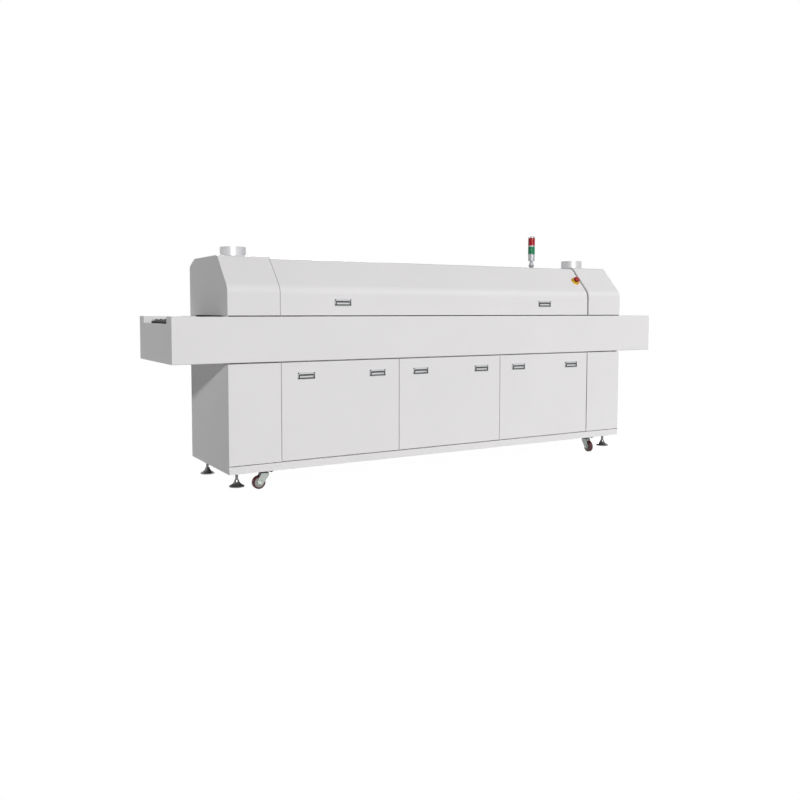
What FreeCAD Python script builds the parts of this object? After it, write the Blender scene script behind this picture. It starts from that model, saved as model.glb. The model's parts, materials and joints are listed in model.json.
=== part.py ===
import FreeCAD, Part
import os
import Sketcher

V = FreeCAD.Vector
doc = FreeCAD.newDocument("ReflowOven")
sheet = doc.addObject("Spreadsheet::Sheet", "dim")

# Driving dimensions in millimetres and degrees
DIMENSIONS = {
    "beam_length": 3500, "cabinet_length": 2900, "depth": 680, "end_section": 305,
    "sheet_gauge": 2, "bend": 4, "ground_clear": 110, "plinth_height": 42,
    "door_gap": 4, "door_top_gap": 6, "door_pan": 20,
    "beam_bottom": 715, "beam_height": 250, "ledge_width": 98, "ledge_drop": 90, "notch_depth": 38,
    "hood_gap": 6, "hood_knee": 1122, "hood_top": 1303, "hood_lean": 42.5, "rear_start": 1262,
    "rear_lean": 66.7,
    "lid_inset": 8, "lid_gap": 3, "knee_radius": 80, "brow_radius": 30, "top_radius": 20,
    "tube_width": 40, "tube_wall": 3, "base_width": 50, "cap_height": 25,
    "collar_radius": 74, "collar_wall": 1.5, "collar_height": 58, "collar_flange": 92,
    "hinge_setoff": 5, "hinge_rise": 11, "barrel_radius": 8, "pin_radius": 4, "run_fit": 0.1,
    "module_pitch": 300, "module_length": 280, "module_height": 140, "module_wall": 2,
    "nozzle_level": 985, "nozzle_gauge": 3, "motor_radius": 58, "motor_height": 112,
    "belt_level": 943, "belt_gauge": 3, "belt_half": 160, "belt_end": 1730, "belt_turn": 30,
    "belt_bottom": 752,
    "rail_gap": 6, "rail_width": 20, "rail_bottom": 900, "rail_top": 950, "roller_fit": 0.5,
    "shaft_radius": 8,
    "handle_width": 112, "handle_height": 42, "handle_offset": 230, "door_handle_level": 632,
    "hood_handle_level": 1045, "hood_handle_offset": 757, "bail_half": 46, "bail_radius": 3, "bail_drop": 19,
    "stop_offset": 1102, "stop_level": 1204, "stop_ring": 32, "stop_head": 20.5,
    "strut_offset": 1112, "strut_low_y": -260, "strut_low_z": 986, "strut_high_y": 220, "strut_high_z": 1260,
    "strut_lean": 29.72, "strut_radius": 11, "strut_rod": 5, "strut_length": 552.7, "strut_pin": 4,
    "strut_eye": 15,
    "tower_offset": 918, "tower_radius": 24,
    "caster_offset": 1220, "caster_inset": 80, "wheel_radius": 37.5, "wheel_half": 13.5,
    "caster_pad": 8, "caster_trail": 33,
    "foot_offset": 1381, "foot_radius": 42, "front_foot_lift": 27, "rear_foot_lift": 10,
}
for row, (name, value) in enumerate(DIMENSIONS.items(), start=1):
    sheet.set("A%d" % row, name)
    sheet.set("B%d" % row, str(value))
    sheet.setAlias("B%d" % row, name)
doc.recompute()

# Frequently used levels and planes, written as sheet expressions
FRONT = "(-dim.depth/2)"
REAR = "(dim.depth/2)"
CAB = "(dim.cabinet_length/2)"
SEAM = "(dim.cabinet_length/2-dim.end_section)"
BEAM = "(dim.beam_length/2)"
GAUGE = "dim.sheet_gauge"
BEAM_TOP = "(dim.beam_bottom+dim.beam_height)"
HOOD_LOW = "(dim.beam_bottom+dim.beam_height+dim.hood_gap)"
PLINTH_TOP = "(dim.ground_clear+dim.plinth_height)"
DOOR_LOW = "(dim.ground_clear+dim.plinth_height+dim.door_gap)"
DOOR_HIGH = "(dim.beam_bottom-dim.door_top_gap)"
DOOR_PITCH = "(2*" + SEAM + "/3)"
LID_TOP = "(dim.hood_top-dim.lid_inset)"
HINGE_Y = "(dim.depth/2+dim.hinge_setoff)"
HINGE_Z = "(dim.beam_bottom+dim.beam_height+dim.hinge_rise)"
LEDGE = "(dim.depth/2-dim.ledge_width)"
ROLL_X = "(dim.belt_end-dim.belt_turn)"
ROLL_Z = "(dim.belt_level-dim.belt_turn)"
CASTER_Y = "(dim.depth/2-dim.caster_inset)"
SIDES = (("left", -1), ("right", 1))
CORNERS = (("fl", -1, -1, 0), ("fr", 1, -1, 82), ("rl", -1, 1, 205), ("rr", 1, 1, -40))

nodes = []


def amount(text):
    return float(sheet.evalExpression(str(text)))


def bind(thing, **texts):
    for prop, text in texts.items():
        thing.setExpression(prop.replace("__", "."), str(text))


def shift(thing, x="0", y="0", z="0"):
    bind(thing, Placement__Base__x=x, Placement__Base__y=y, Placement__Base__z=z)
    return thing


def node(thing, label):
    thing.Label = label
    nodes.append(thing)
    return thing


def box(x0, x1, y0, y1, z0, z1):
    block = doc.addObject("Part::Box", "block")
    bind(block, Length="(%s)-(%s)" % (x1, x0), Width="(%s)-(%s)" % (y1, y0), Height="(%s)-(%s)" % (z1, z0))
    return shift(block, x0, y0, z0)


def rod(axis, a, b, radius, start, end):
    bar = doc.addObject("Part::Cylinder", "bar")
    bind(bar, Radius=radius, Height="(%s)-(%s)" % (end, start))
    turn = {"x": (V(0, 1, 0), 90), "y": (V(1, 0, 0), -90), "z": (V(0, 0, 1), 0)}[axis]
    bar.Placement = FreeCAD.Placement(V(), FreeCAD.Rotation(*turn))
    spot = {"x": (start, a, b), "y": (a, start, b), "z": (a, b, start)}[axis]
    return shift(bar, *spot)


def cone(x, y, low, high, r_low, r_high):
    taper = doc.addObject("Part::Cone", "taper")
    bind(taper, Radius1=r_low, Radius2=r_high, Height="(%s)-(%s)" % (high, low))
    return shift(taper, x, y, low)


def ball(x, y, z, radius):
    knob = doc.addObject("Part::Sphere", "knob")
    bind(knob, Radius=radius)
    return shift(knob, x, y, z)


def fuse(*things):
    joined = doc.addObject("Part::MultiFuse", "joined")
    joined.Shapes = list(things)
    joined.Refine = True
    return joined


def cut(base, *tools):
    result = doc.addObject("Part::Cut", "opened")
    result.Base = base
    result.Tool = tools[0] if len(tools) == 1 else fuse(*tools)
    result.Refine = True
    return result


def group(*things):
    bundle = doc.addObject("Part::Compound", "bundle")
    bundle.Links = list(things)
    return bundle


def tube(axis, x0, x1, y0, y1, z0, z1):
    wall = "dim.tube_wall"
    low, high = (x0, y0, z0), (x1, y1, z1)
    inner = []
    for index, name in enumerate("xyz"):
        if name == axis:
            inner += ["%s-1" % low[index], "%s+1" % high[index]]
        else:
            inner += ["%s+%s" % (low[index], wall), "%s-%s" % (high[index], wall)]
    return cut(box(x0, x1, y0, y1, z0, z1), box(*inner))


def sketch(body, plane, outlines, offset="0"):
    drawing = body.newObject("Sketcher::SketchObject", "outline")
    base = [item for item in body.Origin.OriginFeatures if item.Role == plane][0]
    drawing.AttachmentSupport = [(base, "")]
    drawing.MapMode = "FlatFace"
    drawing.setExpression("AttachmentOffset.Base.z", str(offset))
    for points in outlines:
        first = drawing.GeometryCount
        spots = [V(amount(x), amount(y), 0) for x, y in points]
        count = len(spots)
        for index in range(count):
            drawing.addGeometry(Part.LineSegment(spots[index], spots[(index + 1) % count]), False)
        for index in range(count):
            following = first + (index + 1) % count
            drawing.addConstraint(Sketcher.Constraint("Coincident", first + index, 2, following, 1))
        for index, texts in enumerate(points):
            for kind, text, axis in (("DistanceX", texts[0], -2), ("DistanceY", texts[1], -1)):
                size = amount(text)
                if abs(size) < 1e-9:
                    drawing.addConstraint(Sketcher.Constraint("PointOnObject", first + index, 1, axis))
                    continue
                rule = Sketcher.Constraint(kind, -1, 1, first + index, 1, size)
                drawing.setExpression("Constraints[%d]" % drawing.addConstraint(rule), str(text))
    return drawing


def rectangle(x0, y0, x1, y1):
    return [(x0, y0), (x1, y0), (x1, y1), (x0, y1)]


def new_body(name):
    return doc.addObject("PartDesign::Body", name)


def pad(body, drawing, length, symmetric=False, backward=False):
    feature = body.newObject("PartDesign::Pad", "pad")
    feature.Profile = drawing
    feature.SideType = "Symmetric" if symmetric else "One side"
    feature.Reversed = backward
    feature.setExpression("Length", str(length))
    doc.recompute()
    return feature


def pocket(body, drawing, length, symmetric=False, backward=False):
    feature = body.newObject("PartDesign::Pocket", "pocket")
    feature.Profile = drawing
    feature.SideType = "Symmetric" if symmetric else "One side"
    feature.Reversed = backward
    feature.setExpression("Length", str(length))
    doc.recompute()
    return feature


def edge_names(feature, wanted):
    return ["Edge%d" % (n + 1) for n, edge in enumerate(feature.Shape.Edges) if wanted(edge)]


def near(edge, axis, **spot):
    bounds = edge.BoundBox
    span = {"x": bounds.XLength, "y": bounds.YLength, "z": bounds.ZLength}
    if any(span[name] > 1e-4 for name in "xyz" if name != axis) or span[axis] < 1e-4:
        return False
    middle = bounds.Center
    return all(abs(getattr(middle, name) - size) < 0.01 for name, size in spot.items())


def round_edges(body, feature, wanted, radius):
    fillet = body.newObject("PartDesign::Fillet", "rounding")
    fillet.Base = (feature, edge_names(feature, wanted))
    fillet.setExpression("Radius", str(radius))
    doc.recompute()
    return fillet


def shell(body, feature, open_faces, gauge):
    names = ["Face%d" % (n + 1) for n, face in enumerate(feature.Shape.Faces) if open_faces(face)]
    skin = body.newObject("PartDesign::Thickness", "skin")
    skin.Base = (feature, names)
    skin.Reversed = True
    skin.setExpression("Value", str(gauge))
    doc.recompute()
    return skin


def turned(name, profile):
    body = new_body(name)
    drawing = sketch(body, "XZ_Plane", [profile])
    spin = body.newObject("PartDesign::Revolution", "turning")
    spin.Profile = drawing
    spin.ReferenceAxis = (drawing, ["V_Axis"])
    spin.Angle = 360
    doc.recompute()
    return body


# Welded base frame of square tubes with caster plates
def build_base_frame():
    bars = []
    low, high, inner = "dim.ground_clear", PLINTH_TOP, "dim.base_width"
    wide, post = "dim.base_width/2", "dim.tube_width"
    reach = CAB + "-dim.sheet_gauge"
    pan = "(dim.door_pan+3)"
    columns = ["(%s-%s/2)" % (reach, post), SEAM, "(%s/3)" % SEAM]
    columns += ["(-%s)" % spot for spot in columns]
    crosses = ["(%s-%s)" % (reach, wide), SEAM, "(%s/3)" % SEAM]
    crosses += ["(-%s)" % spot for spot in crosses]
    top = "(dim.beam_bottom-dim.cap_height)"
    for y0, y1 in ((FRONT, FRONT + "+" + inner), (REAR + "-" + inner, REAR)):
        bars.append(tube("x", "-(%s)" % reach, reach, y0, y1, low, high))
    for spot in crosses:
        bars.append(tube("y", spot + "-" + wide, spot + "+" + wide, FRONT + "+" + inner,
                         REAR + "-" + inner, low, high))
    faces = ((FRONT + "+" + pan, FRONT + "+" + pan + "+" + post),
             (REAR + "-" + pan + "-" + post, REAR + "-" + pan))
    for y0, y1 in faces:
        for spot in columns:
            bars.append(tube("z", spot + "-" + post + "/2", spot + "+" + post + "/2", y0, y1, high, top))
        bars.append(tube("x", "-(%s)" % reach, reach, y0, y1, top, "dim.beam_bottom"))
    for spot in columns:
        bars.append(tube("y", spot + "-" + post + "/2", spot + "+" + post + "/2", faces[0][1], faces[1][0],
                         top, "dim.beam_bottom"))
    for _, along, across, _ in CORNERS:
        near_x, far_x = "%d*(%s+%s)" % (along, SEAM, wide), "%d*(%s-dim.base_width)" % (along, reach)
        near_y, far_y = "%d*(%s-%s)" % (across, REAR, inner), "%d*(%s-125)" % (across, REAR)
        xs = (near_x, far_x) if along > 0 else (far_x, near_x)
        ys = (far_y, near_y) if across > 0 else (near_y, far_y)
        plate = box(xs[0], xs[1], ys[0], ys[1], low, low + "+10")
        hole = rod("z", "%d*dim.foot_offset" % along, "%d*%s" % (across, CASTER_Y), "8.4", low + "-1",
                   low + "+11")
        bars.append(cut(plate, hole))
    return node(group(*bars), "base_frame")


# Folded cover that closes one end of the lower cabinet
def build_end_cover(side, sign):
    body = new_body("cover_" + side)
    out, lip = "%d*%s" % (sign, CAB), "%d*(%s+dim.door_gap/2)" % (sign, SEAM)
    skin = "%d*(%s-%s)" % (sign, CAB, GAUGE)
    outline = [(lip, FRONT), (out, FRONT), (out, REAR), (lip, REAR), (lip, REAR + "-" + GAUGE),
               (skin, REAR + "-" + GAUGE), (skin, FRONT + "+" + GAUGE), (lip, FRONT + "+" + GAUGE)]
    wall = pad(body, sketch(body, "XY_Plane", [outline], "dim.ground_clear"), DOOR_HIGH + "-dim.ground_clear")
    x_out, x_in, half = amount(out), amount(skin), amount(REAR)
    gauge = amount(GAUGE)
    wall = round_edges(body, wall, lambda e: near(e, "z", x=x_out), "dim.bend")
    inner = lambda e: near(e, "z", x=x_in) and abs(abs(e.BoundBox.Center.y) - half) < gauge + 1
    round_edges(body, wall, inner, "dim.bend-" + GAUGE)
    relief = sketch(body, "XZ_Plane", [rectangle(skin, "dim.ground_clear-1", "%d*(%s-10)" % (sign, SEAM),
                                                 DOOR_LOW)])
    pocket(body, relief, "dim.depth+20", symmetric=True)
    return node(body, "end_cover_" + side)


# Shallow sheet pan with folded edges, its outer face on the plane y = 0
def build_pan(name, width, low, high):
    body = new_body(name)
    face = sketch(body, "XZ_Plane", [rectangle("-(%s)/2" % width, low, "(%s)/2" % width, high)])
    slab = pad(body, face, "dim.door_pan", backward=True)
    slab = round_edges(body, slab, lambda e: abs(e.BoundBox.YMax) < 1e-4, "dim.bend")
    deep = amount("dim.door_pan")
    shell(body, slab, lambda f: abs(f.BoundBox.YMin - deep) < 1e-4, GAUGE)
    return body


# Front doors, tilting out on their rounded lower edge
def build_doors():
    for index, name in enumerate(("left", "middle", "right")):
        body = build_pan("pan_" + name, DOOR_PITCH + "-dim.door_gap", DOOR_LOW, DOOR_HIGH)
        shift(body, "(%d)*%s" % (index - 1, DOOR_PITCH), FRONT)
        node(body, "door_" + name)


# Rear panels with rows of cooling slots
def build_rear_panels():
    panels = []
    for index in range(3):
        body = build_pan("rear_pan_%d" % index, DOOR_PITCH + "-dim.door_gap", DOOR_LOW, DOOR_HIGH)
        slots = []
        for column in (-1, 1):
            for step in range(7):
                low = "(%s+60+%d*22)" % (DOOR_LOW, step)
                middle = "%d*165" % column
                slots.append(rectangle(middle + "-120", low, middle + "+120", low + "+7"))
        pocket(body, sketch(body, "XZ_Plane", slots, "5"), "30")
        body.Placement = FreeCAD.Placement(V(), FreeCAD.Rotation(V(0, 0, 1), 180))
        shift(body, "(%d)*%s" % (index - 1, DOOR_PITCH), REAR)
        panels.append(body)
    return node(group(*panels), "rear_panels")


# Long folded skirt of the conveyor beam with its top ledge
def build_skirt(name, sign):
    body = new_body("skirt_" + name)
    face, inner = "%d*%s" % (sign, REAR), "%d*%s" % (sign, LEDGE)
    face_in, inner_in = "%d*(%s-%s)" % (sign, REAR, GAUGE), "%d*(%s+%s)" % (sign, LEDGE, GAUGE)
    foot = "%d*(%s-40)" % (sign, REAR)
    low, drop = "dim.beam_bottom", "(%s-dim.ledge_drop)" % BEAM_TOP
    outline = [(face, low), (face, BEAM_TOP), (inner, BEAM_TOP), (inner, drop), (inner_in, drop),
               (inner_in, BEAM_TOP + "-" + GAUGE), (face_in, BEAM_TOP + "-" + GAUGE),
               (face_in, low + "+" + GAUGE),
               (foot, low + "+" + GAUGE), (foot, low)]
    bar = pad(body, sketch(body, "YZ_Plane", [outline]), "dim.beam_length-2*" + GAUGE, symmetric=True)
    y_face, y_in = amount(face), amount(face_in)
    bar = round_edges(body, bar, lambda e: near(e, "x", y=y_face), "dim.bend")
    round_edges(body, bar, lambda e: near(e, "x", y=y_in), "dim.bend-" + GAUGE)
    if name == "rear":
        return node(body, "beam_rear_skirt")
    lugs = []
    for side in (-1, 1):
        x, y, z = "%d*dim.strut_offset" % side, "dim.strut_low_y", "dim.strut_low_z"
        lugs.append(rod("x", y, z, "dim.strut_pin", x + "-13", x + "+13"))
        for ear in ("-10", "+10"):
            lugs.append(box(x + ear + "-3", x + ear + "+3", y + "-9", y + "+9", BEAM_TOP + "-1", z + "+8"))
    return node(fuse(body, *lugs), "beam_front_skirt")


# Notched plate closing one end of the beam, folded under the overhang
def build_beam_end(name, sign):
    body = new_body("end_" + name)
    notch = "(%s-dim.notch_depth)" % BEAM_TOP
    outline = [(FRONT, "dim.beam_bottom"), (REAR, "dim.beam_bottom"), (REAR, BEAM_TOP), (LEDGE, BEAM_TOP),
               (LEDGE, notch), ("-" + LEDGE, notch), ("-" + LEDGE, BEAM_TOP), (FRONT, BEAM_TOP)]
    spot = "%d*%s" % (sign, BEAM) if sign > 0 else "%d*%s+%s" % (sign, BEAM, GAUGE)
    pad(body, sketch(body, "YZ_Plane", [outline], spot), GAUGE, backward=True)
    under = rectangle("%d*%s" % (sign, CAB), FRONT + "+42", "%d*(%s-1)" % (sign, BEAM), REAR + "-42")
    plate = pad(body, sketch(body, "XY_Plane", [under], "dim.beam_bottom"), GAUGE)
    half, outer = amount(REAR), amount("%d*%s" % (sign, BEAM))

    def rim(edge):
        bounds = edge.BoundBox
        flat = abs(bounds.XMin - outer) < 1e-4 and bounds.XLength < 1e-4
        low = abs(bounds.ZMax - amount("dim.beam_bottom")) < 1e-3
        return flat and (low or abs(abs(bounds.Center.y) - half) < 1e-3)
    round_edges(body, plate, rim, "1.5")
    return node(body, name + "_end_plate")


# Outline of the hood across its width, moved inward by an inset
def hood_outline(inset, low):
    knee = "(dim.hood_knee-%s*tan(dim.hood_lean*1deg/2))" % inset
    top = "(dim.hood_top-%s)" % inset
    front = "(-dim.depth/2+%s)" % inset
    rear = "(dim.depth/2-%s)" % inset
    start = "(dim.rear_start-%s*tan(dim.rear_lean*1deg/2))" % inset
    front_top = "(%s+(%s-%s)*tan(dim.hood_lean*1deg))" % (front, top, knee)
    rear_top = "(%s-(%s-%s)*tan(dim.rear_lean*1deg))" % (rear, top, start)
    return [(front, low), (front, knee), (front_top, top), (rear_top, top), (rear, start), (rear, low)]


def build_hood_block(name, inset, x0, x1):
    body = new_body(name)
    drawing = sketch(body, "YZ_Plane", [hood_outline(inset, HOOD_LOW)], x0)
    block = pad(body, drawing, "(%s)-(%s)" % (x1, x0))
    points = [(amount(y), amount(z)) for y, z in hood_outline(inset, HOOD_LOW)]
    for index, radius in ((1, "dim.knee_radius"), (2, "dim.brow_radius"), (3, "dim.top_radius"),
                          (4, "dim.top_radius")):
        y, z = points[index]
        block = round_edges(body, block, lambda e: near(e, "x", y=y, z=z), radius)
    return body, block


# Fixed hood end with exhaust hole, standing clear of the beam on short legs
def build_hood_end(side, sign):
    low = amount(HOOD_LOW)
    inner, outer = "%d*(%s+dim.lid_gap/2)" % (sign, SEAM), "%d*%s" % (sign, CAB)
    ends = (inner, outer) if sign > 0 else (outer, inner)
    body, block = build_hood_block("hood_" + side, "0", *ends)
    x_in, x_out = amount(inner), amount(outer)
    rim = lambda e: abs(e.BoundBox.Center.x - x_out) < 1e-4 and e.BoundBox.XLength < 1e-4
    block = round_edges(body, block, lambda e: rim(e) and e.BoundBox.ZMax > low + 1, "3")
    shell(body, block, lambda f: (abs(f.BoundBox.ZMax - low) < 1e-4)
          or (f.BoundBox.XLength < 1e-4 and abs(f.BoundBox.Center.x - x_in) < 1e-4), GAUGE)
    hole = rod("z", "%d*(%s+%s)/2" % (sign, CAB, SEAM), "0", "dim.collar_radius-dim.collar_wall",
               "dim.hood_top-10", "dim.hood_top+10")
    legs = []
    for x in ("%d*(%s+24)" % (sign, SEAM), "%d*(%s-24)" % (sign, CAB)):
        for across in (-1, 1):
            wall, post = "%d*(%s-13.5)" % (across, REAR), "%d*(%s-18)" % (across, REAR)
            legs.append(box(x + "-12", x + "+12", post + "-8", post + "+8", BEAM_TOP, HOOD_LOW + "+6"))
            legs.append(box(x + "-12", x + "+12", wall + "-12.5", wall + "+12.5", HOOD_LOW + "+2",
                            HOOD_LOW + "+6"))
    return node(cut(fuse(body, *legs), hole), "hood_end_" + side)


# Exhaust collars on the fixed hood ends
def build_collars():
    rings = []
    for _, sign in SIDES:
        x = "%d*(%s+%s)/2" % (sign, CAB, SEAM)
        sleeve = rod("z", x, "0", "dim.collar_radius", "dim.hood_top", "dim.hood_top+dim.collar_height")
        flange = rod("z", x, "0", "dim.collar_flange", "dim.hood_top", "dim.hood_top+2")
        bore = rod("z", x, "0", "dim.collar_radius-dim.collar_wall", "dim.hood_top-1",
                   "dim.hood_top+dim.collar_height+1")
        rings.append(cut(fuse(sleeve, flange), bore))
    return node(group(*rings), "exhaust_collars")


HINGE_SPOTS = ("-900", "0", "900")


# Lifting middle lid with hinge barrels and emergency stop hole
def build_lid():
    reach = "(%s-dim.lid_gap/2)" % SEAM
    body, block = build_hood_block("lid", "dim.lid_inset", "-" + reach, reach)
    low = amount(HOOD_LOW)
    shell(body, block, lambda f: abs(f.BoundBox.ZMax - low) < 1e-4, GAUGE)
    wall = "(%s-dim.lid_inset)" % REAR
    extras = []
    for spot in HINGE_SPOTS:
        left, right = spot + "-13.5", spot + "+13.5"
        extras.append(rod("x", HINGE_Y, HINGE_Z, "dim.barrel_radius", left, right))
        extras.append(box(left, right, wall + "-1", HINGE_Y, HINGE_Z, HINGE_Z + "+7"))
        extras.append(box(spot + "-40", spot + "+40", wall + "-1", wall + "+3", HINGE_Z + "-2",
                          HINGE_Z + "+40"))
    holes = [rod("x", HINGE_Y, HINGE_Z, "dim.pin_radius+dim.run_fit", spot + "-20", spot + "+20")
             for spot in HINGE_SPOTS]
    holes.append(on_slope(rod("z", "0", "0", "12.4", "-30", "30")))
    for sign in (-1, 1):
        ends = sorted(("%d*(dim.strut_offset-6)" % sign, "%d*(%s-1)" % (sign, reach)), key=amount)
        extras.append(rod("x", "dim.strut_high_y", "dim.strut_high_z", "dim.strut_pin", *ends))
    for side in ("-" + reach, reach):
        holes.append(box(side + "-4", side + "+4", "-%s+20" % LEDGE, LEDGE + "-20", HOOD_LOW + "-1",
                         HOOD_LOW + "+18"))
    return node(cut(fuse(body, *extras), *holes), "hood_lid")


# Place a piece built along Z on the sloping face of the lid
def on_slope(piece):
    knee = "(dim.hood_knee-dim.lid_inset*tan(dim.hood_lean/2*1deg))"
    y = "(-dim.depth/2+dim.lid_inset+(dim.stop_level-%s)*tan(dim.hood_lean*1deg))" % knee
    carrier = group(piece)
    carrier.Placement = FreeCAD.Placement(V(), FreeCAD.Rotation(V(1, 0, 0), 90 - amount("dim.hood_lean")))
    return shift(carrier, "dim.stop_offset", y, "dim.stop_level")


# Turn a strut piece built along X into its leaning place
def on_strut(piece):
    carrier = group(piece)
    carrier.Placement = FreeCAD.Placement(V(), FreeCAD.Rotation(V(1, 0, 0), amount("dim.strut_lean")))
    return shift(carrier, "0", "dim.strut_low_y", "dim.strut_low_z")


# Lift struts under the lid: tubes on the front ledge, rods reaching to the lid pins
def build_struts():
    tubes, rods = [], []
    full, sleeve = "dim.strut_length", "(dim.strut_length*0.58)"
    for sign in (-1, 1):
        x = "%d*dim.strut_offset" % sign
        eye = fuse(rod("x", "0", "0", "8", x + "-6", x + "+6"), rod("y", x, "0", "6", "4", "24"),
                   rod("y", x, "0", "dim.strut_radius", "20", sleeve))
        tubes.append(on_strut(cut(eye, rod("x", "0", "0", "dim.strut_pin+dim.run_fit", x + "-20", x + "+20"),
                                  rod("y", x, "0", "dim.strut_rod+dim.run_fit", "60", sleeve + "+1"))))
        ring = cut(rod("x", full, "0", "dim.strut_eye+4", x + "-4", x + "+4"),
                   rod("x", full, "0", "dim.strut_eye", x + "-9", x + "+9"))
        rods.append(on_strut(fuse(ring, rod("y", x, "0", "dim.strut_rod", "90", full + "-dim.strut_eye-1"))))
    node(group(*tubes), "lift_tubes")
    node(group(*rods), "lift_rods")


# Fixed hinge leaves with their pins
def build_hinge_leaves():
    leaves = []
    for spot in HINGE_SPOTS:
        parts = [box(spot + "-40", spot + "+40", REAR, REAR + "+3", HINGE_Z + "-50", HINGE_Z + "-9")]
        parts.append(rod("x", HINGE_Y, HINGE_Z, "dim.pin_radius", spot + "-42", spot + "+42"))
        for left, right in (("-40", "-14"), ("+14", "+40")):
            parts.append(rod("x", HINGE_Y, HINGE_Z, "dim.barrel_radius", spot + left, spot + right))
            parts.append(box(spot + left, spot + right, REAR, HINGE_Y, HINGE_Z + "-12", HINGE_Z))
        leaves.append(fuse(*parts))
    return node(group(*leaves), "hood_hinge_leaves")


# Heater box: five-sided tray closed by a slotted nozzle plate
def heater_pair(index, half, tray_low, tray_high, plate_low, opens_down, flange):
    middle = "(%d*dim.module_pitch)" % (index - 3)
    x0, x1 = middle + "-dim.module_length/2", middle + "+dim.module_length/2"
    wall = "dim.module_wall"
    inner_low = tray_low + ("-1" if opens_down else "+" + wall)
    inner_high = tray_high + ("-" + wall if opens_down else "+1")
    tray = cut(box(x0, x1, "-" + half, half, tray_low, tray_high),
               box(x0 + "+" + wall, x1 + "-" + wall, "-%s+%s" % (half, wall), half + "-" + wall,
                   inner_low, inner_high))
    plate_high = plate_low + "+dim.nozzle_gauge"
    slots = []
    for step in range(6):
        spot = "%s+(%.1f)" % (middle, (step - 2.5) * 44)
        slots.append(box(spot + "-4", spot + "+4", "-%s+25" % half, half + "-25", plate_low + "-1",
                         plate_high + "+1"))
    plate = cut(box(x0, x1, "-" + flange, flange, plate_low, plate_high), *slots)
    return [tray, plate]


def build_heaters():
    upper, lower = [], []
    plate = "dim.nozzle_level"
    tray = "(dim.nozzle_level+dim.nozzle_gauge)"
    crown = "(dim.nozzle_level+dim.nozzle_gauge+dim.module_height)"
    low_plate = "(dim.belt_level-28)"
    low_tray = "(dim.belt_level-28-dim.module_height)"
    rail = "(dim.belt_half+dim.rail_gap)"
    for index in range(7):
        upper += heater_pair(index, "180", tray, crown, plate, True, "180")
        lower += heater_pair(index, "150", low_tray, low_plate, low_plate, False, rail)
    for sign in (-1, 1):
        y = "%d*190" % sign
        reach = "(%s-dim.lid_gap/2-%s)" % (SEAM, GAUGE)
        upper.append(box("-" + reach, reach, y + "-10", y + "+10", crown + "-30", crown))
    node(group(*upper), "upper_heaters")
    node(group(*lower), "lower_heaters")


# Blower motors standing on the upper heater boxes
def build_blowers():
    crown = "(dim.nozzle_level+dim.nozzle_gauge+dim.module_height)"
    motors = []
    for index in range(7):
        x = "(%d*dim.module_pitch)" % (index - 3)
        barrel = rod("z", x, "0", "dim.motor_radius", crown, crown + "+dim.motor_height")
        flange = rod("z", x, "0", "dim.motor_radius+18", crown, crown + "+6")
        cap = rod("z", x, "0", "dim.motor_radius-8", crown + "+dim.motor_height",
                  crown + "+dim.motor_height+14")
        motors.append(fuse(barrel, flange, cap))
    return node(group(*motors), "upper_blowers")


# Belt side rails, cross bars and return bars
def build_belt_rails():
    near_y = "(dim.belt_half+dim.rail_gap)"
    far_y = "(%s+dim.rail_width)" % near_y
    end = "(dim.belt_end-15)"
    parts = []
    for sign in (-1, 1):
        ys = ("-" + far_y, "-" + near_y) if sign < 0 else (near_y, far_y)
        rail = box("-" + end, end, ys[0], ys[1], "dim.rail_bottom", "dim.rail_top")
        hangers = []
        for along in (-1, 1):
            x = "%d*%s" % (along, ROLL_X)
            low = "(dim.belt_bottom+dim.belt_turn)"
            hangers.append(box(x + "-16", x + "+16", "%d*%s-3*%d-3" % (sign, near_y, -sign),
                               "%d*%s-3*%d+3" % (sign, near_y, -sign), low + "-14", "dim.rail_bottom"))
        holes = [rod("y", "%d*%s" % (along, ROLL_X), ROLL_Z, "dim.shaft_radius+dim.run_fit", ys[0] + "-1",
                     ys[1] + "+1")
                 for along in (-1, 1)]
        parts.append(cut(rail, *holes))
        parts.extend(hangers)
    for along in (-1, 1):
        x = "%d*%s" % (along, ROLL_X)
        parts.append(rod("y", x, "dim.belt_bottom+dim.belt_turn",
                         "dim.belt_turn-dim.belt_gauge-dim.roller_fit",
                         "-" + near_y, near_y))
    for spot in ("-1600", "-1300", "-1050", "-450", "450", "1050", "1300", "1600"):
        parts.append(box(spot + "-8", spot + "+8", "-" + LEDGE, LEDGE, "dim.rail_bottom-20",
                         "dim.rail_bottom"))
    return node(group(*parts), "belt_rails")


# Mesh belt as one closed band
def build_belt():
    body = new_body("belt")
    loop = rectangle("-dim.belt_end", "dim.belt_bottom", "dim.belt_end", "dim.belt_level")
    slab = pad(body, sketch(body, "XZ_Plane", [loop]), "2*dim.belt_half", symmetric=True)
    slab = round_edges(body, slab, lambda e: e.BoundBox.XLength < 1e-4 and e.BoundBox.ZLength < 1e-4,
                       "dim.belt_turn")
    shell(body, slab, lambda f: f.BoundBox.YLength < 1e-4, "dim.belt_gauge")
    return node(body, "mesh_belt")


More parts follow.
